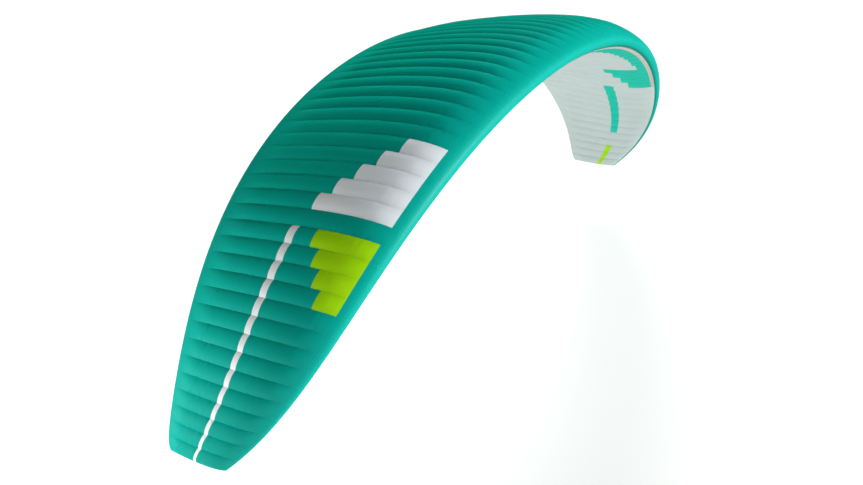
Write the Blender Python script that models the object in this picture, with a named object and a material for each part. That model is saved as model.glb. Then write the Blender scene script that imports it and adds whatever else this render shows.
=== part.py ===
"""Ram-air paraglider wing, as it stands inflated in flight.

The canopy is a double skin on chordwise ribs.  Sixty-six cells lie side by side along an arched span.
Each span section has a nose panel that rounds the leading edge, an upper panel and a lower panel.
The air intakes are the open slots between the nose panels and the lower panels.
The two outer sections are closed there, and a tip panel closes each end.

Axes, in metres: X along the span with the pilot's left at +X, Y from the nose to the trailing edge, Z up.
The origin is on the underside of the middle rib, where the suspension lines would hold the wing.
"""
import math

import bmesh
import bpy
import numpy as np

# Plan form, measured on the wing laid out flat
HALF_SPAN = 5.85            # middle rib to tip, along the arch
ROOT_CHORD = 2.42           # nose to trailing edge on the middle rib
TIP_CHORD = 0.68
CHORD_FULLNESS = 2.5        # how far out the chord stays long
CHORD_ROUNDING = 0.78       # how suddenly it then shortens
SWEEP = 0.83                # how far the leading edge runs back towards the tip
SWEEP_POWER = 2.13
TIP_SWEEP = 0.59            # a further run back in the last few cells alone
TIP_SWEEP_POWER = 8.0

# Arch, seen from the front
TIP_CANT = math.radians(75.0)    # how far the tip panel's plane leans over from upright
EVEN_CANT_SHARE = 0.735          # the share of that lean that grows evenly along the span
CANT_POWER = 3.06                # how late the rest of it comes
ARCH_STEPS = 2000                # steps of the sum along the arch

# Rib profile, as shares of the chord
THICKNESS = 0.165
TIP_THINNING = 0.208             # how much thinner the profile is at the tip, as a share
CAMBER = 0.0114
CAMBER_PLACE = 0.28
HALF_EDGE = 0.0024               # half the thickness of the sewn trailing edge, in metres
SURFACE_TERMS = ((0.5, 0.2969), (1, -0.1260), (2, -0.3516), (3, 0.2843), (4, -0.1036))

# Cells
CELLS_A_SIDE = 33
MIDDLE_CELL_EXTRA = 0.095        # how much wider the middle cells are than the mean
SECTION_RIBS = (0, 4, 8, 20, 33)      # the ribs at which the panels are joined, from the middle out
RIB_STEP = 2                     # ribs from one modelled rib to the next
BALLOON = 0.085                  # rise of a cell between its ribs, as a share of the cell's width
BALLOON_NOSE = 0.02              # chord share at which the cells begin to rise
BALLOON_FULL = 0.16              # where they have risen fully
BALLOON_EASE = 0.80              # where they begin to flatten
OPEN_SECTIONS = 3                # sections a side, from the middle, whose nose is open below

# Cloth and seams
SKIN = 0.002
RIB_CLOTH = 0.0015
GAP = 0.00035                    # between neighbouring pieces
RIB_END = 0.985                  # chord share at which a rib stops short of the trailing edge

# Where the panels begin and end, as shares of the chord; below zero is the underside
NOSE_SEAM = 0.12
INTAKE_FRONT = -0.030
INTAKE_BACK = -0.052
NOSE_ROWS = (0.073, 0.036, 0.0132, 0.002, -0.002, -0.0125)
UPPER_ROWS = (0.19, 0.29, 0.41, 0.56, 0.72, 0.87)
LOWER_ROWS = (-0.15, -0.31, -0.52, -0.74, -0.89)

LINE_PLACE = 0.30                # chord share of the suspension point on the middle rib

TEAL = (0.0, 0.42, 0.33, 1.0)
PALE = (0.68, 0.74, 0.72, 1.0)
CREAM = (0.72, 0.70, 0.62, 1.0)
CLOTH_ROUGHNESS = 0.45
SHARP_ANGLE = math.radians(40)
SMALL = 1e-4                     # step of the slopes, as a share of span or chord


def build_arch():
    """Return the span shares, lean, X and Z of the arch from the middle rib to the tip."""
    share = np.linspace(0.0, 1.0, ARCH_STEPS + 1)
    lean = TIP_CANT * (EVEN_CANT_SHARE * share + (1 - EVEN_CANT_SHARE) * share ** CANT_POWER)
    step = HALF_SPAN / ARCH_STEPS
    across = np.cos(lean)
    down = np.sin(lean)
    x = np.concatenate(([0.0], np.cumsum((across[1:] + across[:-1]) / 2))) * step
    z = -np.concatenate(([0.0], np.cumsum((down[1:] + down[:-1]) / 2))) * step
    return share, lean, x, z


ARCH_SHARE, ARCH_LEAN, ARCH_X, ARCH_Z = build_arch()


def chord_at(span):
    out = 1 - min(abs(span), 1.0) ** CHORD_FULLNESS
    return TIP_CHORD + (ROOT_CHORD - TIP_CHORD) * out ** CHORD_ROUNDING


def nose_at(span):
    out = abs(span)
    return SWEEP * out ** SWEEP_POWER + TIP_SWEEP * out ** TIP_SWEEP_POWER


def profile_height(span, place):
    """Return the height of a rib's edge above its chord line, at a signed chord share."""
    along = abs(place)
    side = 1.0 if place >= 0 else -1.0
    thickness = THICKNESS * (1 - TIP_THINNING * abs(span) ** 4)
    half = 5 * thickness * sum(term * along ** power for power, term in SURFACE_TERMS)
    if along < CAMBER_PLACE:
        camber = CAMBER * (2 * CAMBER_PLACE * along - along ** 2) / CAMBER_PLACE ** 2
    else:
        front = 1 - 2 * CAMBER_PLACE
        camber = CAMBER * (front + 2 * CAMBER_PLACE * along - along ** 2) / (1 - CAMBER_PLACE) ** 2
    return (camber + side * half) * chord_at(span) + side * HALF_EDGE * along


def rib_plane(span):
    """Return a rib plane's point on the arch, its upward direction and its outboard direction."""
    share = abs(span)
    side = 1.0 if span >= 0 else -1.0
    lean = np.interp(share, ARCH_SHARE, ARCH_LEAN)
    x = np.interp(share, ARCH_SHARE, ARCH_X)
    z = np.interp(share, ARCH_SHARE, ARCH_Z)
    centre = np.array([side * x, 0.0, z])
    upward = np.array([side * math.sin(lean), 0.0, math.cos(lean)])
    outboard = np.array([side * math.cos(lean), 0.0, -math.sin(lean)])
    return centre, upward, outboard


def surface_point(span, place):
    """Return a point of the smooth skin, at a signed span share and a signed chord share."""
    centre, upward, _ = rib_plane(span)
    aft = np.array([0.0, nose_at(span) + abs(place) * chord_at(span), 0.0])
    return centre + aft + upward * profile_height(span, place)


def smoothstep(value):
    value = min(max(value, 0.0), 1.0)
    return value * value * (3 - 2 * value)


def balloon_share(place):
    """Return how far a cell has risen at a chord share, from 0 at the nose and the trailing edge to 1."""
    along = abs(place)
    rise = smoothstep((along - BALLOON_NOSE) / (BALLOON_FULL - BALLOON_NOSE))
    fall = 1 - smoothstep((along - BALLOON_EASE) / (1 - BALLOON_EASE))
    return rise * fall


def in_plane_normal(span, place):
    """Return the skin's outward direction within the rib plane, and the share of the true normal in it.

    A place is never 0: no row lies on the nose line itself, where the upper and the lower skin meet.
    """
    side = math.copysign(1.0, span)
    surface = math.copysign(1.0, place)
    here = surface_point(span, place)
    along = surface_point(span, place + surface * SMALL) - here
    across = here - surface_point(span - side * SMALL, place)
    normal = np.cross(across, along) * side * surface
    normal /= np.linalg.norm(normal)
    _, _, outboard = rib_plane(span)
    flat = normal - outboard * normal.dot(outboard)
    share = np.linalg.norm(flat)
    return flat / share, share


def skin_point(span, place, rise=0.0, depth=0.0):
    """Return a skin point lifted by rise, and set back inside by depth of cloth."""
    direction, share = in_plane_normal(span, place)
    return surface_point(span, place) + direction * (rise * balloon_share(place) - depth / share)


def rib_span(number):
    """Return the span share of a rib, counted from the middle out."""
    even = number / CELLS_A_SIDE
    return even * (1 + MIDDLE_CELL_EXTRA * (1 - even ** 2))


def place_row(row, span):
    """Return a row's chord share, with its shift in metres taken at this rib's chord."""
    share, shift = row
    return share + shift / chord_at(span)


def span_stations(first_rib, last_rib, side):
    """Return the span share and the rise of each valley and crest of a section."""
    stations = []
    for number in range(first_rib, last_rib + 1):
        valley = rib_span(number)
        if number == first_rib:
            valley += GAP / 2 / HALF_SPAN
        if number == last_rib and number < CELLS_A_SIDE:
            valley -= GAP / 2 / HALF_SPAN
        stations.append((side * valley, 0.0))
        if number < last_rib:
            width = rib_span(number + 1) - rib_span(number)
            crest = (rib_span(number) + rib_span(number + 1)) / 2
            stations.append((side * crest, BALLOON * width * HALF_SPAN))
    return stations


def add_object(name, mesh_tools, colour, frame):
    """Turn a bmesh into an object with its own material, held by the wing's frame."""
    bmesh.ops.recalc_face_normals(mesh_tools, faces=mesh_tools.faces)
    mesh = bpy.data.meshes.new(name)
    mesh_tools.to_mesh(mesh)
    mesh_tools.free()
    mesh.shade_smooth()
    mesh.set_sharp_from_angle(angle=SHARP_ANGLE)
    cloth = bpy.data.materials.new(name + "_cloth")
    cloth.use_nodes = True
    finish = cloth.node_tree.nodes["Principled BSDF"]
    finish.inputs["Base Color"].default_value = colour
    finish.inputs["Roughness"].default_value = CLOTH_ROUGHNESS
    finish.inputs["Metallic"].default_value = 0.0
    mesh.materials.append(cloth)
    item = bpy.data.objects.new(name, mesh)
    item.parent = frame
    bpy.context.collection.objects.link(item)


def add_panel(name, stations, rows, colour, frame):
    """Make one sewn panel: an outer and an inner face on the same creases, closed by a rim."""
    tools = bmesh.new()
    outer = []
    inner = []
    for span, rise in stations:
        places = [place_row(row, span) for row in rows]
        outer.append([tools.verts.new(skin_point(span, place, rise)) for place in places])
        inner.append([tools.verts.new(skin_point(span, place, rise, SKIN)) for place in places])
    last = len(rows) - 1
    for i in range(len(stations) - 1):
        for j in range(last):
            for grid in (outer, inner):
                a, b = grid[i][j], grid[i + 1][j]
                c, d = grid[i + 1][j + 1], grid[i][j + 1]
                if i % 2:
                    tools.faces.new((a, b, c))
                    tools.faces.new((a, c, d))
                else:
                    tools.faces.new((a, b, d))
                    tools.faces.new((b, c, d))
        for j in (0, last):
            tools.faces.new((outer[i][j], outer[i + 1][j], inner[i + 1][j], inner[i][j]))
    for i in (0, len(stations) - 1):
        for j in range(last):
            tools.faces.new((outer[i][j], outer[i][j + 1], inner[i][j + 1], inner[i][j]))
    add_object(name, tools, colour, frame)


def rib_corner(span, side):
    """Return a rib's rear corner, on the straight run from the skin's last row to its edge."""
    last_row = UPPER_ROWS[-1] if side > 0 else -LOWER_ROWS[-1]
    start = skin_point(span, side * last_row, depth=SKIN + GAP)
    edge = skin_point(span, side, depth=SKIN + GAP)
    return start + (edge - start) * (RIB_END - last_row) / (1 - last_row)


def rib_outline(span):
    """Return a rib's edge, a gap inside the skin, from its rear end over the nose and back below."""
    places = [*reversed(UPPER_ROWS), NOSE_SEAM, *NOSE_ROWS, INTAKE_FRONT, INTAKE_BACK, *LOWER_ROWS]
    edge = [skin_point(span, place, depth=SKIN + GAP) for place in places]
    return [rib_corner(span, 1), *edge, rib_corner(span, -1)]


def add_rib(name, side, centre_span, frame):
    """Make one rib: a flat plate cut to the skin at its outer face, where the wing is smaller."""
    tools = bmesh.new()
    span = side * (centre_span + RIB_CLOTH / 2 / HALF_SPAN)
    _, _, outboard = rib_plane(span)
    outer_face = rib_outline(span)
    one = [tools.verts.new(point) for point in outer_face]
    two = [tools.verts.new(point - outboard * RIB_CLOTH) for point in outer_face]
    tools.faces.new(one)
    tools.faces.new(two)
    for i in range(len(one)):
        following = (i + 1) % len(one)
        tools.faces.new((one[i], one[following], two[following], two[i]))
    add_object(name, tools, CREAM, frame)


def add_section(side_name, side, number, frame):
    """Make the three panels of one span section."""
    stations = span_stations(SECTION_RIBS[number - 1], SECTION_RIBS[number], side)
    half = GAP / 2
    nose = [(NOSE_SEAM, -half)]
    nose += [(place, 0.0) for place in NOSE_ROWS]
    nose += [(INTAKE_FRONT, half)]
    upper = [(NOSE_SEAM, half)]
    upper += [(place, 0.0) for place in UPPER_ROWS]
    upper += [(1.0, 0.0)]
    if number <= OPEN_SECTIONS:
        lower = [(INTAKE_BACK, 0.0)]
    else:
        lower = [(INTAKE_FRONT, -half), (INTAKE_BACK, 0.0)]
    lower += [(place, 0.0) for place in LOWER_ROWS]
    lower += [(-1.0, 0.0)]
    add_panel(f"nose_panel_{side_name}_{number}", stations, nose, TEAL, frame)
    add_panel(f"upper_panel_{side_name}_{number}", stations, upper, TEAL, frame)
    add_panel(f"lower_panel_{side_name}_{number}", stations, lower, PALE, frame)


def main():
    for item in list(bpy.data.objects):
        bpy.data.objects.remove(item, do_unlink=True)
    frame = bpy.data.objects.new("suspension_frame", None)
    frame.location = -surface_point(0.0, -LINE_PLACE)
    bpy.context.collection.objects.link(frame)
    add_rib("rib_middle", 1, 0.0, frame)
    for side_name, side in (("left", 1), ("right", -1)):
        for number in range(1, len(SECTION_RIBS)):
            add_section(side_name, side, number, frame)
        for number in range(RIB_STEP, CELLS_A_SIDE, RIB_STEP):
            add_rib(f"rib_{side_name}_{number:02d}", side, rib_span(number), frame)
        add_rib(f"tip_panel_{side_name}", side, 1 - RIB_CLOTH / 2 / HALF_SPAN, frame)


main()
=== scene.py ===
"""Looks of an inflated ram-air paraglider wing: fine ballooned cloth, ribs, seams, light and camera.

Axes, in metres: X along the span with the pilot's left at +X, Y from the nose to the trailing edge, Z up.
The origin is on the underside of the middle rib, where the suspension lines would hold the wing.
A span share runs from 0 at the middle rib to 1 at the left tip and -1 at the right one.
A place is a chord share, from 0 at the nose to 1 at the trailing edge above and -1 below.
"""
import math

import bpy
import numpy as np
from bpy.props import FloatProperty, FloatVectorProperty, IntProperty, PointerProperty
from bpy.types import Operator, Panel, PropertyGroup
from mathutils import Matrix, Vector


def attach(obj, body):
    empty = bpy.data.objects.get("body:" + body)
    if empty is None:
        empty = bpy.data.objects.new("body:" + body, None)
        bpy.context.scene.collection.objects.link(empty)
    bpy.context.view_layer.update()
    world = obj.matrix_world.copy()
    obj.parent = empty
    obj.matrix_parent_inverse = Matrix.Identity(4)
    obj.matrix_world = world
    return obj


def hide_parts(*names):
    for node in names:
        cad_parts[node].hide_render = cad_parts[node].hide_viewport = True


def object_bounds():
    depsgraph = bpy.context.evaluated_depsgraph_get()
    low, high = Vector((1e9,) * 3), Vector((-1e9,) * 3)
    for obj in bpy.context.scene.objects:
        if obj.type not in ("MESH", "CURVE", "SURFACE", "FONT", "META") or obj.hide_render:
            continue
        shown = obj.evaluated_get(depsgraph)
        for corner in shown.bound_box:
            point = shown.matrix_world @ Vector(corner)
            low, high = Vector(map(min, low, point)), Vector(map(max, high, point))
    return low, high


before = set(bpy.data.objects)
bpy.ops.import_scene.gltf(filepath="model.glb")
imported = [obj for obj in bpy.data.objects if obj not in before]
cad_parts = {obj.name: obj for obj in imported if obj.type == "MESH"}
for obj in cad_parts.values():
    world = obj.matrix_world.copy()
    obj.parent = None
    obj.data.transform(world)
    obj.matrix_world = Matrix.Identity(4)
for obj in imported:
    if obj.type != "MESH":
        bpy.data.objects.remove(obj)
CAD_BOX = [list(corner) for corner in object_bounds()]

bl_info = {
    "name": "Paraglider wing looks",
    "version": (1, 0, 0),
    "blender": (4, 5, 0),
    "location": "View3D > Sidebar > Wing",
    "description": "Dresses an inflated paraglider wing with ballooned cloth, ribs, seams and studio light",
    "category": "Object",
}

# ---------------------------------------------------------------- shape of the wing
# Each term of the section's thickness: power of the chord share, factor
SURFACE_TERMS = ((0.5, 0.2969), (1, -0.1260), (2, -0.3516), (3, 0.2843), (4, -0.1036))
SURFACE_SCALE = 5                # by which the terms are taken for half the thickness
THINNING_POWER = 4               # how late the section thins towards the tip
ARCH_STEPS = 2000
SMALL = 1e-4                     # step of the slopes, as a share of span or chord
SECTION_RIBS = (0, 4, 8, 20, 33)  # ribs where the span sections of a side begin and end
RIB_STEP = 2                     # ribs from one modelled rib to the next in the frame
OPEN_SECTIONS = 3                # sections a side, from the middle, whose nose is open below
GAP = 0.00035                    # between the skin and a rib's edge
SEAM_GAP = 0.0001                # between two sewn pieces of skin
LINE_PLACE = 0.30                # chord share of the origin on the middle rib
SHADED_LIP_PLACE = 0.016                # chord share, below, where the painted shade of the nose's lower lip begins
NOSE_SEAM = 0.12                 # chord share, above, where the nose panel meets the upper skin
INTAKE_FRONT = 0.030             # chord shares, below, of the two lips of the intake
INTAKE_BACK = 0.052
RIB_END = 0.985                  # chord share where a rib ends
SIDES = (("left", 1), ("right", -1))

# ---------------------------------------------------------------- how finely the cloth is drawn
CUTS_A_CELL = 12                 # strips across one cell
NOSE_CUTS = 24                   # strips along the chord of a nose panel, and of the other panels
SKIN_CUTS = 112
NOSE_POINT = 0.004               # root of the chord share nearer than which the nose has no row
HEM_CLEARANCE = 1.5              # widths of a hem within which other rows give way to it
RIB_ROWS = 5
RIB_NOSE_COLUMNS = (0.0006, 0.003, 0.008, 0.017, INTAKE_FRONT, 0.041, INTAKE_BACK, 0.08, NOSE_SEAM)
RIB_REST_START = 0.16            # chord share where a rib's even columns begin
RIB_REST_COLUMNS = 18
SHARP_ANGLE = math.radians(20)

# ---------------------------------------------------------------- how the sewn cloth lies
CELL_ROUNDING = 2.4              # power of a cell's section: 2 is an arc, more is flatter with steep sides
CELL_VARIETY = 0.05              # how far one cell's rise differs from the mean, as a share
CELL_TURN = 2.399                # golden angle, from one cell to the next, so that no two near ones are alike
WAVE_TURN = 1.713                # what the second pucker wave adds to it
PATCH_TURN = 1.131               # the turn of the puckered stretches from one cell to the next
PUCKER_REACH = 0.018             # from the seam to where its puckers are deepest
# Each pucker wave: length along the chord, share of the height
PUCKER_WAVES = ((0.071, 0.55), (0.113, 0.45))
PUCKER_PATCH = 0.63              # along the chord, from one puckered stretch to the next
PATCH_CHANGE = 0.45              # how far the puckers' height falls and rises over that, as a share
HEM_WIDTH = 0.012                # doubled cloth along the trailing edge and the intake lips
HEM_STEP = 0.001                 # in which the skin rises to the hem

# ---------------------------------------------------------------- colour fields
# Each row: cloth, first cell, last cell, front place, rear place at the first cell, its change a cell
UPPER_FIELDS = (
    ("white", 13, 17, 0.05, 0.22, 0.06),
    ("lime", 19, 22, 0.05, 0.36, -0.06),
    ("white", 19, 32, 0.47, 0.515, 0.0),
)
# The underside's teal fields take a lighter copy of the teal: painted light for light through the cloth
LOWER_FIELDS = (
    ("lit_teal", 0, 15, 0.031, 0.20, -0.0065),
    ("lit_teal", 16, 19, 0.031, 0.33, -0.04),
    ("lit_teal", 20, 27, 0.335, 0.41, 0.0),
    ("lime", 30, 32, 0.335, 0.41, 0.0),
)


class WingSizes(PropertyGroup):
    half_span: FloatProperty(name="Half span", description="Middle rib to tip, along the arch", default=5.85,
                             min=1.0, unit="LENGTH")
    root_chord: FloatProperty(name="Root chord", description="Nose to trailing edge on the middle rib",
                              default=2.42, min=0.5, unit="LENGTH")
    tip_chord: FloatProperty(name="Tip chord", description="Nose to trailing edge on the tip panel",
                             default=0.68, min=0.1, unit="LENGTH")
    fullness: FloatProperty(name="Chord fullness", description="How far out the chord stays long",
                            default=2.5)
    rounding: FloatProperty(name="Chord rounding", description="How suddenly the chord then shortens",
                            default=0.78)
    sweep: FloatProperty(name="Sweep", description="How far the leading edge runs back towards the tip",
                         default=0.83, unit="LENGTH")
    sweep_power: FloatProperty(name="Sweep power", description="How late the sweep comes", default=2.13)
    tip_sweep: FloatProperty(name="Tip sweep", description="A further run back in the last cells alone",
                             default=0.59, unit="LENGTH")
    tip_sweep_power: FloatProperty(name="Tip sweep power", description="How late that comes", default=8.0)
    tip_cant: FloatProperty(name="Tip cant", description="How far the tip leans over", subtype="ANGLE",
                            default=math.radians(75.0))
    even_cant: FloatProperty(name="Even cant share", description="Share of the lean that grows evenly",
                             default=0.735)
    cant_power: FloatProperty(name="Cant power", description="How late the rest of the lean comes",
                              default=3.06)
    thickness: FloatProperty(name="Thickness", description="Rib height as a share of the chord",
                             default=0.165)
    tip_thinning: FloatProperty(name="Tip thinning", description="How much thinner the tip is, as a share",
                                default=0.208)
    camber: FloatProperty(name="Camber", description="Rise of the rib's middle line, share of chord",
                          default=0.0114)
    camber_place: FloatProperty(name="Camber place", description="Where that rise is greatest", default=0.28)
    half_edge: FloatProperty(name="Half edge", description="Half the thickness of the trailing edge",
                             default=0.0024, unit="LENGTH")
    cells: IntProperty(name="Cells a side", description="Cells from the middle rib to a tip", default=33)
    middle_extra: FloatProperty(name="Middle cells", description="How much wider than the mean they are",
                                default=0.095)


class ClothSizes(PropertyGroup):
    skin: FloatProperty(name="Skin", description="Thickness of the sewn skin", default=0.0018, unit="LENGTH")
    rib: FloatProperty(name="Rib", description="Thickness of a rib", default=0.0015, unit="LENGTH")
    balloon: FloatProperty(name="Balloon", description="Rise of a cell as a share of its width",
                           default=0.105)
    balloon_nose: FloatProperty(name="Balloon start", description="Chord share where cells begin to rise",
                                default=0.02)
    balloon_full: FloatProperty(name="Balloon full", description="Chord share where they have risen",
                                default=0.16)
    balloon_ease: FloatProperty(name="Balloon ease", description="Chord share where they begin to flatten",
                                default=0.80)
    pucker: FloatProperty(name="Pucker", description="Height of the puckers beside a seam", default=0.002,
                          unit="LENGTH")
    hem_rise: FloatProperty(name="Hem rise", description="How far a hem stands above the skin",
                            default=0.0006, unit="LENGTH")
    ripstop: FloatProperty(name="Ripstop pitch", description="Spacing of the strong yarns", default=0.005,
                           unit="LENGTH")
    stitch: FloatProperty(name="Stitch", description="Length of one stitch", default=0.0045, unit="LENGTH")
    teal: FloatVectorProperty(name="Teal", description="Cloth of the upper skin and nose", subtype="COLOR",
                              size=3, default=(0.001, 0.355, 0.288))
    # A darker teal: painted shade on the nose's lower lip, which faces down and back
    shaded_lip: FloatVectorProperty(name="Shaded lip", description="Doubled cloth along the lower lip of the nose",
                             subtype="COLOR", size=3, default=(0.001, 0.235, 0.185))
    white: FloatVectorProperty(name="White", description="Pale fields of the upper skin", subtype="COLOR",
                               size=3, default=(0.82, 0.84, 0.865))
    lime: FloatVectorProperty(name="Lime", description="Bright green fields", subtype="COLOR", size=3,
                              default=(0.37, 0.715, 0.004))
    # A lighter copy of the teal: painted light, for the light that comes through the underside's cloth
    lit_teal: FloatVectorProperty(name="Lit teal", description="Teal fields of the underside, lit through the cloth",
                              subtype="COLOR", size=3, default=(0.010, 0.51, 0.385))
    pale: FloatVectorProperty(name="Pale", description="Cloth of the underside", subtype="COLOR", size=3,
                              default=(0.50, 0.575, 0.57))
    inside: FloatVectorProperty(name="Inside", description="Inner face of the cloth and the ribs",
                                subtype="COLOR", size=3, default=(0.80, 0.785, 0.73))


class StageSizes(PropertyGroup):
    lens: FloatProperty(name="Lens", description="Focal length on a 36 mm wide frame, in mm", default=42.09)
    azimuth: FloatProperty(name="Camera azimuth", description="Round the wing", subtype="ANGLE",
                           default=math.radians(-57.54))
    elevation: FloatProperty(name="Camera elevation", description="Above the horizon", subtype="ANGLE",
                             default=math.radians(22.93))
    roll: FloatProperty(name="Camera roll", description="Lean of the frame", subtype="ANGLE",
                        default=math.radians(-3.05))
    place: FloatVectorProperty(name="Camera place", description="Where the camera stands", size=3,
                               subtype="XYZ", unit="LENGTH", default=(-9.967, -5.016, 2.574))
    floor_drop: FloatProperty(name="Floor drop", description="Floor below the lower tip", default=0.5,
                              unit="LENGTH")


def smoothstep(value):
    value = np.clip(value, 0.0, 1.0)
    return value * value * (3 - 2 * value)


class Wing:
    """The wing's smooth form, worked out from its sizes."""

    def __init__(self, sizes, cloth):
        self.sizes = sizes
        self.cloth = cloth
        share = np.linspace(0.0, 1.0, ARCH_STEPS + 1)
        even = sizes.even_cant
        lean = sizes.tip_cant * (even * share + (1 - even) * share ** sizes.cant_power)
        step = sizes.half_span / ARCH_STEPS
        across = np.cos(lean)
        down = np.sin(lean)
        self.share = share
        self.lean = lean
        self.x = np.concatenate(([0.0], np.cumsum((across[1:] + across[:-1]) / 2))) * step
        self.z = -np.concatenate(([0.0], np.cumsum((down[1:] + down[:-1]) / 2))) * step
        self.origin = np.zeros(3)
        self.origin = self.point(np.array([[0.0]]), np.array([[-LINE_PLACE]]))[0, 0]

    def rib_span(self, number):
        even = number / self.sizes.cells
        return even * (1 + self.sizes.middle_extra * (1 - even ** 2))

    def chord(self, span):
        sizes = self.sizes
        out = 1 - np.minimum(np.abs(span), 1.0) ** sizes.fullness
        return sizes.tip_chord + (sizes.root_chord - sizes.tip_chord) * out ** sizes.rounding

    def nose(self, span):
        out = np.abs(span)
        sizes = self.sizes
        return sizes.sweep * out ** sizes.sweep_power + sizes.tip_sweep * out ** sizes.tip_sweep_power

    def height(self, span, place):
        sizes = self.sizes
        along = np.abs(place)
        side = np.where(place >= 0, 1.0, -1.0)
        thickness = sizes.thickness * (1 - sizes.tip_thinning * np.abs(span) ** THINNING_POWER)
        half = SURFACE_SCALE * thickness * sum(term * along ** power for power, term in SURFACE_TERMS)
        top = sizes.camber_place
        rising = (2 * top * along - along ** 2) / top ** 2
        falling = (1 - 2 * top + 2 * top * along - along ** 2) / (1 - top) ** 2
        camber = sizes.camber * np.where(along < top, rising, falling)
        return (camber + side * half) * self.chord(span) + side * sizes.half_edge * along

    def plane(self, span):
        """Return the arch's point and the upward and outboard directions of the rib planes."""
        share = np.abs(span)
        side = np.where(span >= 0, 1.0, -1.0)
        lean = np.interp(share, self.share, self.lean)
        flat = np.zeros_like(lean)
        centre = np.stack((side * np.interp(share, self.share, self.x), flat,
                           np.interp(share, self.share, self.z)), -1)
        upward = np.stack((side * np.sin(lean), flat, np.cos(lean)), -1)
        outboard = np.stack((side * np.cos(lean), flat, -np.sin(lean)), -1)
        return centre, upward, outboard

    def point(self, span, place):
        span, place = np.broadcast_arrays(span, place)
        centre, upward, _ = self.plane(span)
        aft = np.zeros_like(centre)
        aft[..., 1] = self.nose(span) + np.abs(place) * self.chord(span)
        return centre + aft + upward * self.height(span, place)[..., None] - self.origin

    def normal(self, span, place):
        """Return the outward direction within the rib plane, and the true normal's share in it."""
        span, place = np.broadcast_arrays(span, place)
        side = np.where(span >= 0, 1.0, -1.0)
        surface = np.where(place >= 0, 1.0, -1.0)
        here = self.point(span, place)
        along = self.point(span, place + surface * SMALL) - here
        across = here - self.point(span - side * SMALL, place)
        normal = np.cross(across, along) * (side * surface)[..., None]
        normal /= np.linalg.norm(normal, axis=-1, keepdims=True)
        _, _, outboard = self.plane(span)
        flat = normal - outboard * (normal * outboard).sum(-1, keepdims=True)
        share = np.linalg.norm(flat, axis=-1, keepdims=True)
        return flat / share, share

    def balloon(self, place):
        along = np.abs(place)
        cloth = self.cloth
        rise = smoothstep((along - cloth.balloon_nose) / (cloth.balloon_full - cloth.balloon_nose))
        fall = 1 - smoothstep((along - cloth.balloon_ease) / (1 - cloth.balloon_ease))
        return rise * fall

    def skin(self, span, place, rise=0.0, depth=0.0):
        """Return skin points lifted by rise and set back inside by depth."""
        direction, share = self.normal(span, place)
        return self.point(span, place) + direction * (np.asarray(rise)[..., None] - depth / share)


def current_wing():
    scene = bpy.context.scene
    return Wing(scene.wing_sizes, scene.cloth_sizes)


# ---------------------------------------------------------------- meshes
def cell_strips(wing, first_rib, last_rib):
    """Return span share, place across the cell, cell width and cell number of each strip edge."""
    spans, across, widths, cells = [], [], [], []
    for number in range(first_rib, last_rib):
        start = wing.rib_span(number)
        end = wing.rib_span(number + 1)
        for cut in range(CUTS_A_CELL + (number == last_rib - 1)):
            part = (1 - math.cos(math.pi * cut / CUTS_A_CELL)) / 2
            spans.append(start + (end - start) * part)
            across.append(part)
            widths.append((end - start) * wing.sizes.half_span)
            cells.append(number)
    spans[0] += SEAM_GAP / 2 / wing.sizes.half_span
    if last_rib < wing.sizes.cells:
        spans[-1] -= SEAM_GAP / 2 / wing.sizes.half_span
    return np.array(spans), np.array(across), np.array(widths), np.array(cells)


def chord_rows(start, end, cuts, edges):
    """Return even rows from start to end, with a row moved to each colour edge between them."""
    rows = np.linspace(start, end, cuts + 1)
    low, high = sorted((start, end))
    for edge in edges:
        if low < edge < high:
            rows[1 + np.argmin(np.abs(rows[1:-1] - edge))] = edge
    return np.unique(rows)


def plain_rows(shares):
    """Return rows of chord share, shift along the skin, rise of a hem and distance from its edge."""
    shares = np.asarray(shares)
    return np.stack((shares, 0 * shares, 0 * shares, np.full(len(shares), np.nan)), -1)


def hem_edge(rows, edge, inward, rise, shortest):
    """Put a hem along one end of the rows, in place of those that it covers on the shortest chord."""
    width = HEM_WIDTH + HEM_STEP
    kept = rows[(rows[:, 0] - edge) * inward > HEM_CLEARANCE * width / shortest]
    hem = np.array([(edge, 0.0, rise, 0.0), (edge, inward * HEM_WIDTH, rise, HEM_WIDTH),
                    (edge, inward * width, 0.0, np.nan)])
    if rows[0, 0] == edge:
        return np.concatenate((hem, kept))
    return np.concatenate((kept, hem[::-1]))


def pucker_waves(cells, lengths):
    """Return the puckers' wave, from -1 to 1, along the chord of each cell."""
    wave = 0.0
    for number, (length, height) in enumerate(PUCKER_WAVES):
        phase = cells[:, None] * (CELL_TURN + WAVE_TURN * number)
        wave = wave + height * np.sin(math.tau * lengths / length + phase)
    patch = np.sin(math.tau * lengths / PUCKER_PATCH + cells[:, None] * PATCH_TURN)
    return wave * (1 - PATCH_CHANGE + PATCH_CHANGE * patch)


def field_edges(fields, sign):
    """Return every place where a field begins or ends, above with sign 1 and below with -1."""
    edges = set()
    for _, first, last, front, rear, step in fields:
        edges.add(sign * front)
        for cell in range(first, last + 1):
            edges.add(round(sign * (rear + step * (cell - first)), 4))
    return sorted(edges)


def field_cloth(fields, base, cell, along):
    """Return the cloth of a cell at a chord share."""
    found = base
    for cloth, first, last, front, rear, step in fields:
        if first <= cell <= last and front < along < rear + step * (cell - first):
            found = cloth
    return found


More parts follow.
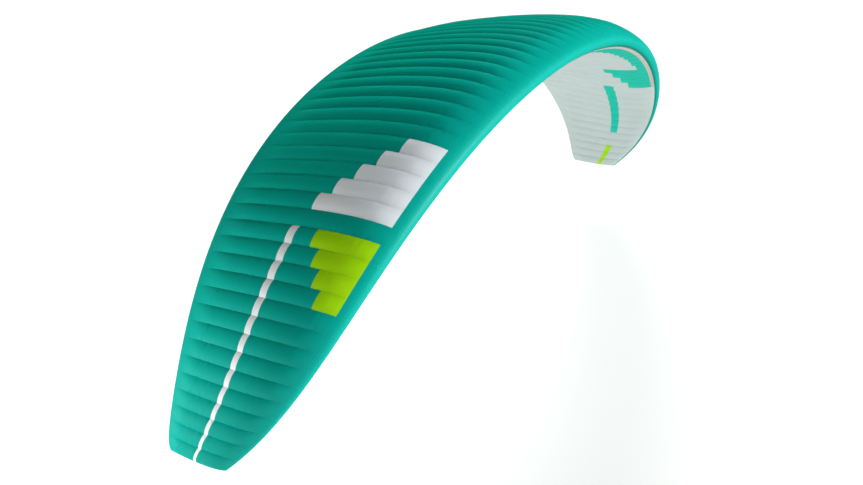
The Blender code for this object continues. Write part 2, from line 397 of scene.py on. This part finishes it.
def sheet_mesh(name, outer, inner, slots, rim_slot, cloths, cloth_uv, seam_uv, flip):
    """Build a closed sheet from two point grids, with a cloth for each face and two UV maps in metres."""
    rows, columns = outer.shape[:2]
    count = rows * columns
    points = np.concatenate((outer.reshape(-1, 3), inner.reshape(-1, 3)))
    index = np.arange(count).reshape(rows, columns)
    a, b = index[:-1, :-1].ravel(), index[1:, :-1].ravel()
    c, d = index[1:, 1:].ravel(), index[:-1, 1:].ravel()
    top = np.stack((a, b, c, d), -1)
    low = np.stack((d, c, b, a), -1) + count
    ring = np.concatenate((index[:-1, 0], index[-1, :-1], index[:0:-1, -1], index[0, :0:-1]))
    after = np.roll(ring, -1)
    rim = np.stack((after, ring, ring + count, after + count), -1)
    faces = np.concatenate((top, low, rim))
    if flip:
        faces = faces[:, ::-1]
    mesh = bpy.data.meshes.new(name)
    mesh.from_pydata(points.tolist(), [], faces.tolist())
    for cloth in cloths:
        mesh.materials.append(cloth_material(cloth))
    inside = len(cloths) - 1
    materials = np.concatenate((slots.ravel(), np.full(len(low), inside), np.full(len(rim), rim_slot)))
    mesh.polygons.foreach_set("material_index", materials.astype(np.int32))
    corners = faces.ravel() % count
    for label, coordinates in (("cloth", cloth_uv), ("seam", seam_uv)):
        layer = mesh.uv_layers.new(name=label)
        layer.data.foreach_set("uv", coordinates.reshape(-1, 2)[corners].astype(np.float32).ravel())
    mesh.shade_smooth()
    mesh.set_sharp_from_angle(angle=SHARP_ANGLE)
    mesh.update()
    return mesh


def place_piece(name, mesh):
    item = bpy.data.objects.new(name, mesh)
    bpy.context.collection.objects.link(item)
    return item


def run_lengths(grid, axis):
    """Return the running length along one axis of a point grid."""
    step = np.linalg.norm(np.diff(grid, axis=axis), axis=-1)
    zero = np.zeros_like(np.take(step, [0], axis=axis))
    return np.concatenate((zero, np.cumsum(step, axis=axis)), axis=axis)


def flat_size(grid):
    """Return the flat width, length and area of a point grid's cloth."""
    width = float(run_lengths(grid, 0)[-1].max())
    length = float(run_lengths(grid, 1)[:, -1].max())
    a, b, c, d = grid[:-1, :-1], grid[1:, :-1], grid[1:, 1:], grid[:-1, 1:]
    halves = np.linalg.norm(np.cross(b - a, c - a), axis=-1) + np.linalg.norm(np.cross(c - a, d - a), axis=-1)
    return width, length, float(halves.sum() / 2)


def add_skin(kind, side_name, side, number, rows, fields, base, wing):
    first, last = SECTION_RIBS[number - 1], SECTION_RIBS[number]
    spans, across, widths, cells = cell_strips(wing, first, last)
    span_grid = side * spans[:, None]
    place_grid = rows[:, 0][None, :] + rows[:, 1][None, :] / wing.chord(spans)[:, None]
    lengths = run_lengths(wing.point(span_grid, place_grid), 1)
    to_seam = np.minimum(across, 1 - across) * widths
    fullness = wing.cloth.balloon * (1 + CELL_VARIETY * np.sin(CELL_TURN * cells))
    near = to_seam / PUCKER_REACH
    pucker = wing.cloth.pucker * near * np.exp(1 - near)
    round_rise = fullness * widths * (1 - np.abs(2 * across - 1) ** CELL_ROUNDING)
    rise = round_rise[:, None] + pucker[:, None] * pucker_waves(cells, lengths)
    rise = rise * wing.balloon(place_grid)
    outer = wing.skin(span_grid, place_grid, rise + rows[:, 2])
    inner = wing.skin(span_grid, place_grid, rise, wing.cloth.skin)
    cloths = ["teal", "white", "lime", "shaded_lip", "lit_teal", "pale", "inside"]
    middle = (rows[1:, 0] + rows[:-1, 0]) / 2
    slots = np.array([[cloths.index(field_cloth(fields, base, cell, along)) for along in np.abs(middle)]
                      for cell in cells[:-1]])
    if kind == "nose":
        slots[:, middle < 0] = cloths.index("teal")
        # Painted shade: the lower lip of the nose takes a darker teal
        slots[:, middle < -SHADED_LIP_PLACE] = cloths.index("shaded_lip")
    across_skin = spans[:, None] * wing.sizes.half_span + 0 * lengths
    cloth_uv = np.stack((across_skin, lengths), -1)
    seam_uv = np.stack((to_seam[:, None] + 0 * lengths, lengths), -1)
    hem = ~np.isnan(rows[:, 3])
    seam_uv[:, hem, 0] = rows[hem, 3]
    seam_uv[:, hem, 1] = across_skin[:, hem]
    name = f"{kind}_cloth_{side_name}_{number}"
    aft = abs(rows[-1, 0]) > abs(rows[0, 0])
    below = base == "pale"
    mesh = sheet_mesh(name, outer, inner, slots, cloths.index(base), cloths, cloth_uv, seam_uv,
                      flip=(side < 0) != (aft == below))
    piece = place_piece(name, mesh)
    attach(piece, "root")
    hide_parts(f"{kind}_panel_{side_name}_{number}")
    return piece


def rib_grid(wing, span, columns):
    """Return a grid of points over a rib, from its lower to its upper edge, a gap inside the skin."""
    depth = wing.cloth.skin + GAP
    along = np.array(columns)[None, :]
    span = np.array([[span]])
    upper = wing.skin(span, along, 0.0, depth)[0]
    lower = wing.skin(span, -along, 0.0, depth)[0]
    front = wing.skin(span, np.array([[-INTAKE_FRONT]]), 0.0, depth)[0, 0]
    back = wing.skin(span, np.array([[-INTAKE_BACK]]), 0.0, depth)[0, 0]
    for column, share in enumerate(columns):
        if INTAKE_FRONT < share < INTAKE_BACK:
            part = (share - INTAKE_FRONT) / (INTAKE_BACK - INTAKE_FRONT)
            lower[column] = front + (back - front) * part
    part = np.linspace(0.0, 1.0, RIB_ROWS)[:, None, None]
    return lower[None] * (1 - part) + upper[None] * part


def rib_columns():
    return [*RIB_NOSE_COLUMNS, *np.linspace(RIB_REST_START, RIB_END, RIB_REST_COLUMNS)]


def join_meshes(name, meshes):
    """Join several meshes of the same materials and UV maps into one object."""
    items = [place_piece(f"{name}_{number}", mesh) for number, mesh in enumerate(meshes)]
    with bpy.context.temp_override(active_object=items[0], selected_editable_objects=items,
                                   selected_objects=items, object=items[0]):
        bpy.ops.object.join()
    joined = items[0]
    joined.name = name
    joined.data.name = name
    return joined


def add_rib_mesh(name, wing, side, centre_span):
    """Make one rib's mesh, cut at its outer face and thickened inward along the span."""
    half = wing.cloth.rib / 2 / wing.sizes.half_span
    span = side * (centre_span + half)
    outer = rib_grid(wing, span, rib_columns())
    _, _, outboard = wing.plane(np.array([span]))
    inner = outer - outboard[0] * wing.cloth.rib
    lengths = run_lengths(outer, 1)
    heights = run_lengths(outer, 0)
    cloth_uv = np.stack((heights, lengths), -1)
    from_edge = np.minimum(heights, heights[-1:] - heights)
    seam_uv = np.stack((from_edge, lengths), -1)
    slots = np.zeros((outer.shape[0] - 1, outer.shape[1] - 1), dtype=int)
    mesh = sheet_mesh(name, outer, inner, slots, 0, ["rib"], cloth_uv, seam_uv, flip=side > 0)
    return mesh, flat_size(outer)


# ---------------------------------------------------------------- operators
class WING_OT_upper(Operator):
    """Make the upper skin"""
    bl_idname = "wing.upper_skin"
    bl_label = "Upper skin"

    def execute(self, context):
        wing = current_wing()
        shares = chord_rows(NOSE_SEAM, 1.0, SKIN_CUTS, field_edges(UPPER_FIELDS, 1))
        rows = hem_edge(plain_rows(shares), 1.0, -1, wing.cloth.hem_rise, wing.sizes.tip_chord)
        rows[0, 1] = SEAM_GAP / 2
        for side_name, side in SIDES:
            for number in range(1, len(SECTION_RIBS)):
                add_skin("upper", side_name, side, number, rows, UPPER_FIELDS, "teal", wing)
        return {"FINISHED"}


class WING_OT_lower(Operator):
    """Make the underside skin"""
    bl_idname = "wing.lower_skin"
    bl_label = "Lower skin"

    def execute(self, context):
        wing = current_wing()
        rise = wing.cloth.hem_rise
        edges = field_edges(LOWER_FIELDS, -1)
        for number in range(1, len(SECTION_RIBS)):
            closed = number > OPEN_SECTIONS
            start = -INTAKE_FRONT if closed else -INTAKE_BACK
            shares = chord_rows(start, -1.0, SKIN_CUTS, edges)[::-1]
            rows = hem_edge(plain_rows(shares), -1.0, 1, rise, wing.sizes.tip_chord)
            if closed:
                rows[0, 1] = -SEAM_GAP / 2
            else:
                rows = hem_edge(rows, start, -1, rise, wing.sizes.root_chord)
            for side_name, side in SIDES:
                add_skin("lower", side_name, side, number, rows, LOWER_FIELDS, "pale", wing)
        return {"FINISHED"}


class WING_OT_nose(Operator):
    """Make the nose panels, which round the leading edge"""
    bl_idname = "wing.nose_panels"
    bl_label = "Nose panels"

    def execute(self, context):
        wing = current_wing()
        edges = [math.sqrt(edge) for edge in field_edges(UPPER_FIELDS, 1) if edge < NOSE_SEAM]
        edges.append(-math.sqrt(SHADED_LIP_PLACE))
        front = -math.sqrt(INTAKE_FRONT)
        turns = chord_rows(front, math.sqrt(NOSE_SEAM), NOSE_CUTS, edges)[::-1]
        shares = [math.copysign(turn * turn, turn) for turn in turns if abs(turn) > NOSE_POINT]
        shares[-1] = -INTAKE_FRONT
        closed_rows = plain_rows(shares)
        closed_rows[0] = (NOSE_SEAM, -SEAM_GAP / 2, 0.0, np.nan)
        open_rows = hem_edge(closed_rows, -INTAKE_FRONT, 1, wing.cloth.hem_rise, wing.sizes.root_chord)
        closed_rows[-1, 1] = SEAM_GAP / 2
        for number in range(1, len(SECTION_RIBS)):
            rows = closed_rows if number > OPEN_SECTIONS else open_rows
            for side_name, side in SIDES:
                add_skin("nose", side_name, side, number, rows, UPPER_FIELDS, "teal", wing)
        return {"FINISHED"}


class WING_OT_ribs(Operator):
    """Make the ribs between the cells"""
    bl_idname = "wing.ribs"
    bl_label = "Ribs"

    def execute(self, context):
        wing = current_wing()
        for side_name, side in SIDES:
            for number in range(1, len(SECTION_RIBS)):
                self.add_section(wing, side_name, side, number)
        mesh, (width, length, area) = add_rib_mesh("ribs_middle", wing, 1, 0.0)
        middle = place_piece("ribs_middle", mesh)
        self.declare(middle, ["rib_middle"], (width, length), area)
        return {"FINISHED"}

    def add_section(self, wing, side_name, side, number):
        meshes, nodes, width, length, area = [], [], 0.0, 0.0, 0.0
        for rib in range(SECTION_RIBS[number - 1] + 1, SECTION_RIBS[number] + 1):
            if rib == wing.sizes.cells:
                break
            mesh, size = add_rib_mesh(f"rib_{rib:02d}", wing, side, wing.rib_span(rib))
            meshes.append(mesh)
            width += size[0]
            length = max(length, size[1])
            area += size[2]
            if rib % RIB_STEP == 0:
                nodes.append(f"rib_{side_name}_{rib:02d}")
        piece = join_meshes(f"ribs_{side_name}_{number}", meshes)
        self.declare(piece, nodes, (width, length), area)

    def declare(self, piece, nodes, flat, area):
        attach(piece, "root")
        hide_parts(*nodes)


class WING_OT_tips(Operator):
    """Make the panels that close the tips"""
    bl_idname = "wing.tip_panels"
    bl_label = "Tip panels"

    def execute(self, context):
        wing = current_wing()
        for side_name, side in SIDES:
            span = 1 - wing.cloth.rib / 2 / wing.sizes.half_span
            name = f"tip_cloth_{side_name}"
            mesh, (width, length, area) = add_rib_mesh(name, wing, side, span)
            mesh.materials[0] = cloth_material("teal")
            piece = place_piece(name, mesh)
            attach(piece, "root")
            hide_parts(f"tip_panel_{side_name}")
        return {"FINISHED"}


# ---------------------------------------------------------------- materials
YARN_POWER = 24.0                # how narrow the strong yarns are
FINE_THREADS = 16                # threads of the weave from one strong yarn to the next
FINE_RELIEF = 0.15               # their height beside that of a strong yarn
# Seam: how fast its crease fades, in 1/m, and the row of stitches beside it, in metres, with its half width
CREASE_FADE = -350.0
STITCH_ROW = 0.005
STITCH_HALF = 0.0008
STITCH_SHARE = 0.7               # of a stitch's length that shows
STITCH_RELIEF = 0.4
# Puckers of the seam: noise scales away from it and along it, in 1/m, how fast they fade, and their relief
PUCKER_AWAY = 6.0
PUCKER_ALONG = 42.0
PUCKER_FADE = -28.0
PUCKER_RELIEF = 6.0
# Noise of the cloth's tone and of its surface: scale in 1/m, detail, distortion
TONE_NOISE = (1.4, 4.0, 0.0)
SURFACE_NOISE = (14.0, 5.0, 0.6)
# Shades of the cloth: the lowest, the noise's share, and what a yarn and a thread add
TONE_LOW = 0.92
TONE_CHANGE = 0.16
YARN_TONE = -0.05
THREAD_TONE = 0.22
ROUGH_CHANGE = 0.12              # of the roughness over the surface noise
# Relief in millimetres, of the weave and the surface noise, and how much of it all shows
WEAVE_RELIEF = 0.05
SURFACE_RELIEF = 2.0
RELIEF_UNIT = 0.001
RELIEF_SHARE = 0.6
CLOTH_IOR = 1.2

# Each cloth: colour property, roughness, glow painted in for light through it, painted shade in the creases
# (a painted highlight below zero)
CLOTHS = {
    # its creases get a painted highlight in place of painted shade
    "teal": ("teal", 0.42, 0.0, -0.04),
    "white": ("white", 0.50, 0.0, 0.03),
    "lime": ("lime", 0.50, 0.0, 0.03),
    # darker teal, painted shade on the nose's lower lip
    "shaded_lip": ("shaded_lip", 0.50, 0.0, 0.0),
    # lighter copy of the teal, painted light through the cloth
    "lit_teal": ("lit_teal", 0.50, 0.0, 0.05),
    "pale": ("pale", 0.50, 0.0, 0.05),
    "inside": ("inside", 0.60, 0.16, 0.10),
    "rib": ("inside", 0.60, 0.16, 0.10),
}


def new_group(name, inputs, outputs):
    tree = bpy.data.node_groups.new(name, "ShaderNodeTree")
    for label, kind, value in inputs:
        socket = tree.interface.new_socket(name=label, in_out="INPUT", socket_type=kind)
        if value is not None:
            socket.default_value = value
    for label, kind in outputs:
        tree.interface.new_socket(name=label, in_out="OUTPUT", socket_type=kind)
    return tree, tree.nodes.new("NodeGroupInput"), tree.nodes.new("NodeGroupOutput")


def math_node(tree, operation, first, second=None, third=None):
    node = tree.nodes.new("ShaderNodeMath")
    node.operation = operation
    for slot, value in enumerate((first, second, third)):
        if value is None:
            continue
        if isinstance(value, (int, float)):
            node.inputs[slot].default_value = value
        else:
            tree.links.new(value, node.inputs[slot])
    return node.outputs[0]


def ripstop_group():
    """Square ripstop cloth: fine weave, with a stronger yarn at every pitch both ways."""
    name = "ripstop_weave"
    if name in bpy.data.node_groups:
        return bpy.data.node_groups[name]
    tree, start, end = new_group(name, [("Vector", "NodeSocketVector", None),
                                        ("Pitch", "NodeSocketFloat", 0.005)],
                                 [("Height", "NodeSocketFloat"), ("Yarn", "NodeSocketFloat")])
    split = tree.nodes.new("ShaderNodeSeparateXYZ")
    tree.links.new(start.outputs["Vector"], split.inputs[0])
    lines = []
    weave = []
    for axis in ("X", "Y"):
        turn = math_node(tree, "DIVIDE", split.outputs[axis], start.outputs["Pitch"])
        wave = math_node(tree, "COSINE", math_node(tree, "MULTIPLY", turn, math.tau))
        lines.append(math_node(tree, "POWER", math_node(tree, "MULTIPLY_ADD", wave, 0.5, 0.5), YARN_POWER))
        weave.append(math_node(tree, "SINE", math_node(tree, "MULTIPLY", turn, math.tau * FINE_THREADS)))
    yarn = math_node(tree, "MAXIMUM", lines[0], lines[1])
    fine = math_node(tree, "MULTIPLY", math_node(tree, "MULTIPLY", weave[0], weave[1]), FINE_RELIEF)
    tree.links.new(yarn, end.inputs["Yarn"])
    tree.links.new(math_node(tree, "ADD", yarn, fine), end.inputs["Height"])
    return tree


def seam_group():
    """Sewn seams along the ribs: a pressed crease, a row of stitches beside it, and puckers that fade out."""
    name = "rib_seam"
    if name in bpy.data.node_groups:
        return bpy.data.node_groups[name]
    tree, start, end = new_group(name, [("Vector", "NodeSocketVector", None),
                                        ("Stitch", "NodeSocketFloat", 0.0045)],
                                 [("Height", "NodeSocketFloat"), ("Painted crease", "NodeSocketFloat"),
                                  ("Thread", "NodeSocketFloat")])
    split = tree.nodes.new("ShaderNodeSeparateXYZ")
    tree.links.new(start.outputs["Vector"], split.inputs[0])
    away = split.outputs["X"]
    along = split.outputs["Y"]
    crease = math_node(tree, "EXPONENT", math_node(tree, "MULTIPLY", away, CREASE_FADE))
    off_row = math_node(tree, "ABSOLUTE", math_node(tree, "SUBTRACT", away, STITCH_ROW))
    row = math_node(tree, "LESS_THAN", off_row, STITCH_HALF)
    turn = math_node(tree, "FRACT", math_node(tree, "DIVIDE", along, start.outputs["Stitch"]))
    dash = math_node(tree, "LESS_THAN", turn, STITCH_SHARE)
    thread = math_node(tree, "MULTIPLY", row, dash)
    noise = tree.nodes.new("ShaderNodeTexNoise")
    noise.inputs["Scale"].default_value = 1.0
    noise.inputs["Detail"].default_value = 3.0
    stretch = tree.nodes.new("ShaderNodeCombineXYZ")
    tree.links.new(math_node(tree, "MULTIPLY", away, PUCKER_AWAY), stretch.inputs["X"])
    tree.links.new(math_node(tree, "MULTIPLY", along, PUCKER_ALONG), stretch.inputs["Y"])
    tree.links.new(stretch.outputs[0], noise.inputs["Vector"])
    fade = math_node(tree, "EXPONENT", math_node(tree, "MULTIPLY", away, PUCKER_FADE))
    pucker = math_node(tree, "MULTIPLY", math_node(tree, "SUBTRACT", noise.outputs["Fac"], 0.5), fade)
    height = math_node(tree, "MULTIPLY_ADD", pucker, PUCKER_RELIEF, math_node(tree, "MULTIPLY", crease, -1.0))
    height = math_node(tree, "MULTIPLY_ADD", thread, STITCH_RELIEF, height)
    tree.links.new(height, end.inputs["Height"])
    # The crease also goes out alone, as the mask of the painted shade along the seams
    tree.links.new(crease, end.inputs["Painted crease"])
    tree.links.new(thread, end.inputs["Thread"])
    return tree


def cast_group():
    """Slow changes of tone over the cloth, from handling, coating and sun."""
    name = "cloth_cast"
    if name in bpy.data.node_groups:
        return bpy.data.node_groups[name]
    tree, start, end = new_group(name, [("Vector", "NodeSocketVector", None)],
                                 [("Tone", "NodeSocketFloat"), ("Height", "NodeSocketFloat")])
    for output, (scale, detail, distortion) in (("Tone", TONE_NOISE), ("Height", SURFACE_NOISE)):
        noise = tree.nodes.new("ShaderNodeTexNoise")
        noise.inputs["Scale"].default_value = scale
        noise.inputs["Detail"].default_value = detail
        noise.inputs["Distortion"].default_value = distortion
        tree.links.new(start.outputs["Vector"], noise.inputs["Vector"])
        tree.links.new(noise.outputs["Fac"], end.inputs[output])
    return tree


def cloth_material(cloth):
    """Return the finish of one cloth, made once."""
    name = f"{cloth}_ripstop"
    if name in bpy.data.materials:
        return bpy.data.materials[name]
    sizes = bpy.context.scene.cloth_sizes
    colour_name, roughness, glow, painted_crease_tone = CLOTHS[cloth]
    colour = [*getattr(sizes, colour_name), 1.0]
    material = bpy.data.materials.new(name)
    material.use_nodes = True
    tree = material.node_tree
    shader = tree.nodes["Principled BSDF"]
    shader.inputs["Emission Color"].default_value = colour
    # The glow is painted light: it stands for the light that comes through the thin cloth
    shader.inputs["Emission Strength"].default_value = glow
    shader.inputs["IOR"].default_value = CLOTH_IOR
    cloth_map = tree.nodes.new("ShaderNodeUVMap")
    cloth_map.uv_map = "cloth"
    seam_map = tree.nodes.new("ShaderNodeUVMap")
    seam_map.uv_map = "seam"
    weave = tree.nodes.new("ShaderNodeGroup")
    weave.node_tree = ripstop_group()
    weave.inputs["Pitch"].default_value = sizes.ripstop
    seam = tree.nodes.new("ShaderNodeGroup")
    seam.node_tree = seam_group()
    seam.inputs["Stitch"].default_value = sizes.stitch
    cast = tree.nodes.new("ShaderNodeGroup")
    cast.node_tree = cast_group()
    tree.links.new(cloth_map.outputs[0], weave.inputs["Vector"])
    tree.links.new(cloth_map.outputs[0], cast.inputs["Vector"])
    tree.links.new(seam_map.outputs[0], seam.inputs["Vector"])
    tone = math_node(tree, "MULTIPLY_ADD", cast.outputs["Tone"], TONE_CHANGE, TONE_LOW)
    tone = math_node(tree, "MULTIPLY_ADD", weave.outputs["Yarn"], YARN_TONE, tone)
    # Painted shade along the seams' creases; where the share is below zero, a painted highlight
    tone = math_node(tree, "MULTIPLY_ADD", seam.outputs["Painted crease"], -painted_crease_tone, tone)
    tone = math_node(tree, "MULTIPLY_ADD", seam.outputs["Thread"], THREAD_TONE, tone)
    tint = tree.nodes.new("ShaderNodeMix")
    tint.data_type = "RGBA"
    tint.blend_type = "MULTIPLY"
    tint.inputs["Factor"].default_value = 1.0
    tint.inputs["A"].default_value = colour
    tree.links.new(tone, tint.inputs["B"])
    tree.links.new(tint.outputs["Result"], shader.inputs["Base Color"])
    smoothest = roughness - ROUGH_CHANGE / 2
    rough = math_node(tree, "MULTIPLY_ADD", cast.outputs["Height"], ROUGH_CHANGE, smoothest)
    tree.links.new(rough, shader.inputs["Roughness"])
    height = math_node(tree, "MULTIPLY_ADD", weave.outputs["Height"], WEAVE_RELIEF, seam.outputs["Height"])
    height = math_node(tree, "MULTIPLY_ADD", cast.outputs["Height"], SURFACE_RELIEF, height)
    bump = tree.nodes.new("ShaderNodeBump")
    bump.inputs["Distance"].default_value = RELIEF_UNIT
    bump.inputs["Strength"].default_value = RELIEF_SHARE
    tree.links.new(height, bump.inputs["Height"])
    tree.links.new(bump.outputs[0], shader.inputs["Normal"])
    return material


# ---------------------------------------------------------------- stage
FLOOR_HALF = 90.0
FLOOR_COLOUR = (0.5, 0.5, 0.5, 1.0)
FLOOR_ROUGHNESS = 0.9
FLOOR_SHINE = 0.1
FLOOR_GLOW = 0.62
GLOW_COLOUR = (1.0, 1.0, 1.0, 1.0)
# Each sun: name, direction it shines from, strength, how wide it looks in degrees, colour, whether it is
# mirrored in the cloth
SUNS = (("front", (0.22, -0.94, 0.25), 4.4, 26.0, (0.91, 0.98, 1.0), True),
        ("side", (0.80, 0.38, 0.42), 3.9, 16.0, (1.0, 1.0, 0.86), False),
        ("back", (0.06, 0.99, 0.10), 2.9, 30.0, (1.0, 1.0, 0.86), False))
TIP_LAMP_PLACE = (-6.1, 4.1, -2.45)
TIP_LAMP_AIM = (-4.4, 1.3, -2.1)
TIP_LAMP_SIZE = 2.2
TIP_LAMP_POWER = 178.0
WORLD_COLOUR = (0.97, 0.99, 1.0, 1.0)
# Heights above the horizon where the backdrop begins and ends to fade, and its strength at each
WORLD_FADE = (0.05, 0.28, 1.0, 0.02)
SENSOR_WIDTH = 36.0              # of the camera, in mm
FARTHEST = 400.0                 # that the camera sees


class WING_OT_stage(Operator):
    """Make the floor, the lamps and the camera"""
    bl_idname = "wing.stage"
    bl_label = "Stage"

    def execute(self, context):
        sizes = context.scene.stage_sizes
        self.add_floor(sizes)
        for sun in SUNS:
            self.add_sun(*sun)
        self.add_tip_lamp()
        self.set_world()
        self.add_camera(sizes)
        return {"FINISHED"}

    def add_floor(self, sizes):
        height = CAD_BOX[0][2] - sizes.floor_drop
        corners = [(-FLOOR_HALF, -FLOOR_HALF, height), (FLOOR_HALF, -FLOOR_HALF, height),
                   (FLOOR_HALF, FLOOR_HALF, height), (-FLOOR_HALF, FLOOR_HALF, height)]
        mesh = bpy.data.meshes.new("floor")
        mesh.from_pydata(corners, [], [(0, 1, 2, 3)])
        floor = place_piece("floor", mesh)
        floor.visible_glossy = False
        material = bpy.data.materials.new("pale_floor")
        material.use_nodes = True
        shader = material.node_tree.nodes["Principled BSDF"]
        shader.inputs["Base Color"].default_value = FLOOR_COLOUR
        shader.inputs["Roughness"].default_value = FLOOR_ROUGHNESS
        shader.inputs["Specular IOR Level"].default_value = FLOOR_SHINE
        shader.inputs["Emission Color"].default_value = GLOW_COLOUR
        shader.inputs["Emission Strength"].default_value = FLOOR_GLOW
        mesh.materials.append(material)

    def add_sun(self, name, direction, strength, width, colour, mirrored):
        data = bpy.data.lights.new(name, "SUN")
        data.energy = strength
        data.angle = math.radians(width)
        data.color = colour
        lamp = self.place_light(name, data, (0.0, 0.0, 0.0), Vector(direction))
        lamp.visible_glossy = mirrored

    def add_tip_lamp(self):
        data = bpy.data.lights.new("tip", "AREA")
        data.shape = "DISK"
        data.size = TIP_LAMP_SIZE
        data.energy = TIP_LAMP_POWER
        toward = Vector(TIP_LAMP_PLACE) - Vector(TIP_LAMP_AIM)
        lamp = self.place_light("tip", data, TIP_LAMP_PLACE, toward)
        lamp.visible_camera = False

    def place_light(self, name, data, place, toward):
        lamp = bpy.data.objects.new(name, data)
        lamp.location = place
        lamp.rotation_euler = toward.to_track_quat("Z", "Y").to_euler()
        lamp.visible_glossy = False
        bpy.context.collection.objects.link(lamp)
        return lamp

    def set_world(self):
        """White at the horizon, fading to a dim grey overhead."""
        world = bpy.data.worlds.new("studio")
        world.use_nodes = True
        tree = world.node_tree
        background = tree.nodes["Background"]
        background.inputs["Color"].default_value = WORLD_COLOUR
        where = tree.nodes.new("ShaderNodeTexCoord")
        split = tree.nodes.new("ShaderNodeSeparateXYZ")
        fade = tree.nodes.new("ShaderNodeMapRange")
        fade.interpolation_type = "SMOOTHSTEP"
        for label, value in zip(("From Min", "From Max", "To Min", "To Max"), WORLD_FADE):
            fade.inputs[label].default_value = value
        tree.links.new(where.outputs["Generated"], split.inputs[0])
        tree.links.new(split.outputs["Z"], fade.inputs["Value"])
        tree.links.new(fade.outputs["Result"], background.inputs["Strength"])
        bpy.context.scene.world = world
        world.cycles_visibility.glossy = False
        bpy.context.scene.view_settings.view_transform = "Standard"

    def add_camera(self, sizes):
        back = Vector((math.sin(sizes.azimuth) * math.cos(sizes.elevation),
                       -math.cos(sizes.azimuth) * math.cos(sizes.elevation), math.sin(sizes.elevation)))
        right = (-back).cross(Vector((0, 0, 1))).normalized()
        upright = right.cross(-back)
        turned = right * math.cos(sizes.roll) + upright * math.sin(sizes.roll)
        top = upright * math.cos(sizes.roll) - right * math.sin(sizes.roll)
        axes = Matrix((turned, top, back)).transposed().to_4x4()
        data = bpy.data.cameras.new("camera")
        data.sensor_width = SENSOR_WIDTH
        data.lens = sizes.lens
        data.clip_end = FARTHEST
        camera = bpy.data.objects.new("camera", data)
        camera.matrix_world = Matrix.Translation(sizes.place) @ axes
        bpy.context.collection.objects.link(camera)
        bpy.context.scene.camera = camera


class WING_PT_panel(Panel):
    """The wing's pieces, in the order in which they are made"""
    bl_label = "Paraglider wing"
    bl_idname = "WING_PT_panel"
    bl_space_type = "VIEW_3D"
    bl_region_type = "UI"
    bl_category = "Wing"

    def draw(self, context):
        for step in STEPS:
            self.layout.operator(f"wing.{step}")


STEPS = ("ribs", "upper_skin", "lower_skin", "nose_panels", "tip_panels", "stage")
CLASSES = (WingSizes, ClothSizes, StageSizes, WING_OT_ribs, WING_OT_upper, WING_OT_lower, WING_OT_nose,
           WING_OT_tips, WING_OT_stage, WING_PT_panel)


def register():
    for item in CLASSES:
        bpy.utils.register_class(item)
    bpy.types.Scene.wing_sizes = PointerProperty(type=WingSizes)
    bpy.types.Scene.cloth_sizes = PointerProperty(type=ClothSizes)
    bpy.types.Scene.stage_sizes = PointerProperty(type=StageSizes)


def unregister():
    del bpy.types.Scene.stage_sizes
    del bpy.types.Scene.cloth_sizes
    del bpy.types.Scene.wing_sizes
    for item in reversed(CLASSES):
        bpy.utils.unregister_class(item)


def main():
    register()
    for step in STEPS:
        getattr(bpy.ops.wing, step)()


if __name__ == "__main__":
    main()
